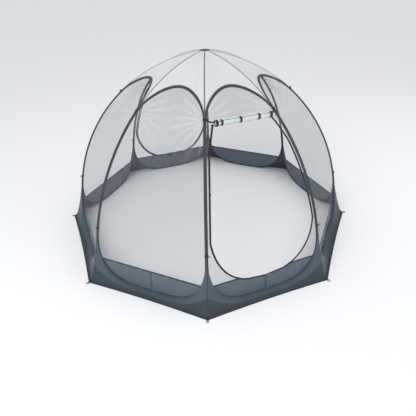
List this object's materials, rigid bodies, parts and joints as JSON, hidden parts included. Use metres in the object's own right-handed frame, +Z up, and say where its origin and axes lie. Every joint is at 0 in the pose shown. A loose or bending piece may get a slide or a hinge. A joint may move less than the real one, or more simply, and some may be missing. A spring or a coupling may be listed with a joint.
{
  "type": "pop-up screen house",
  "caption": "Octagonal domed pop-up screen shelter: spring-hoop net walls with kick panels, pale roof gores, staked skirt, a rolled-up front door and a zipped rear door.",
  "frame": {"origin": "on the ground, under the crown, at the centre of the eight walls", "axes": "+Z up through the crown, -Y out through the open front doorway, +Y out through the zipped rear door"},
  "size_m": [3.3348, 3.3348, 2.05],
  "materials": {
    "sleeve": "woven polyester sleeve",
    "netting": "fine insect netting",
    "kick_cloth": "coated polyester",
    "roof_cloth": "thin translucent polyester",
    "skirt_cloth": "coated polyester",
    "webbing": "woven webbing",
    "zip_tape": "woven zip tape with moulded teeth",
    "slider_metal": "painted slider"
  },
  "bodies": {
    "shelter": {"hoop_1": "sleeve", "netting_1": "netting", "kick_panel_1": "kick_cloth", "roof_gore_1": "roof_cloth", "skirt_1": "skirt_cloth", "stake_loop_1": "webbing", "hoop_2": "sleeve", "netting_2": "netting", "kick_panel_2": "kick_cloth", "roof_gore_2": "roof_cloth", "skirt_2": "skirt_cloth", "stake_loop_2": "webbing", "hoop_3": "sleeve", "netting_3": "netting", "kick_panel_3": "kick_cloth", "roof_gore_3": "roof_cloth", "skirt_3": "skirt_cloth", "stake_loop_3": "webbing", "hoop_4": "sleeve", "netting_4": "netting", "kick_panel_4": "kick_cloth", "roof_gore_4": "roof_cloth", "skirt_4": "skirt_cloth", "stake_loop_4": "webbing", "hoop_5": "sleeve", "netting_5": "netting", "kick_panel_5": "kick_cloth", "roof_gore_5": "roof_cloth", "skirt_5": "skirt_cloth", "stake_loop_5": "webbing", "hoop_6": "sleeve", "netting_6": "netting", "kick_panel_6": "kick_cloth", "roof_gore_6": "roof_cloth", "skirt_6": "skirt_cloth", "stake_loop_6": "webbing", "hoop_7": "sleeve", "netting_7": "netting", "kick_panel_7": "kick_cloth", "roof_gore_7": "roof_cloth", "skirt_7": "skirt_cloth", "stake_loop_7": "webbing", "hoop_8": "sleeve", "netting_8": "netting", "kick_panel_8": "kick_cloth", "roof_gore_8": "roof_cloth", "skirt_8": "skirt_cloth", "stake_loop_8": "webbing", "crown_patch": "sleeve", "front_zip_tape": "zip_tape", "rear_zip_tape": "zip_tape"},
    "front_door": {"front_door_roll": "roof_cloth", "roll_tie_1": "webbing", "roll_tie_2": "webbing", "roll_tie_3": "webbing"},
    "rear_door": {"rear_door": "netting"},
    "front_slider": {"front_zip_slider": "slider_metal"},
    "rear_slider": {"rear_zip_slider": "slider_metal"}
  },
  "joints": [
    {"name": "front_door_drop", "type": "hinge", "parent": "shelter", "child": "front_door", "pos_m": [0, -0.89846, 1.58875], "axis": [1, 0, 0], "range_deg": [0, 90]},
    {"name": "rear_door_lift", "type": "hinge", "parent": "shelter", "child": "rear_door", "pos_m": [0, 0.89996, 1.59025], "axis": [1, 0, 0], "range_deg": [0, 110]},
    {"name": "front_zip_run", "type": "hinge", "parent": "shelter", "child": "front_slider", "pos_m": [0.58832, -0.26245, 0.32673], "axis": [-0.7227, 0.6726, -0.159], "range_deg": [0, 10.8]},
    {"name": "rear_zip_run", "type": "hinge", "parent": "shelter", "child": "rear_slider", "pos_m": [-0.58832, 0.26245, 0.32673], "axis": [0.7227, -0.6726, -0.159], "range_deg": [0, 10.8]}
  ]
}
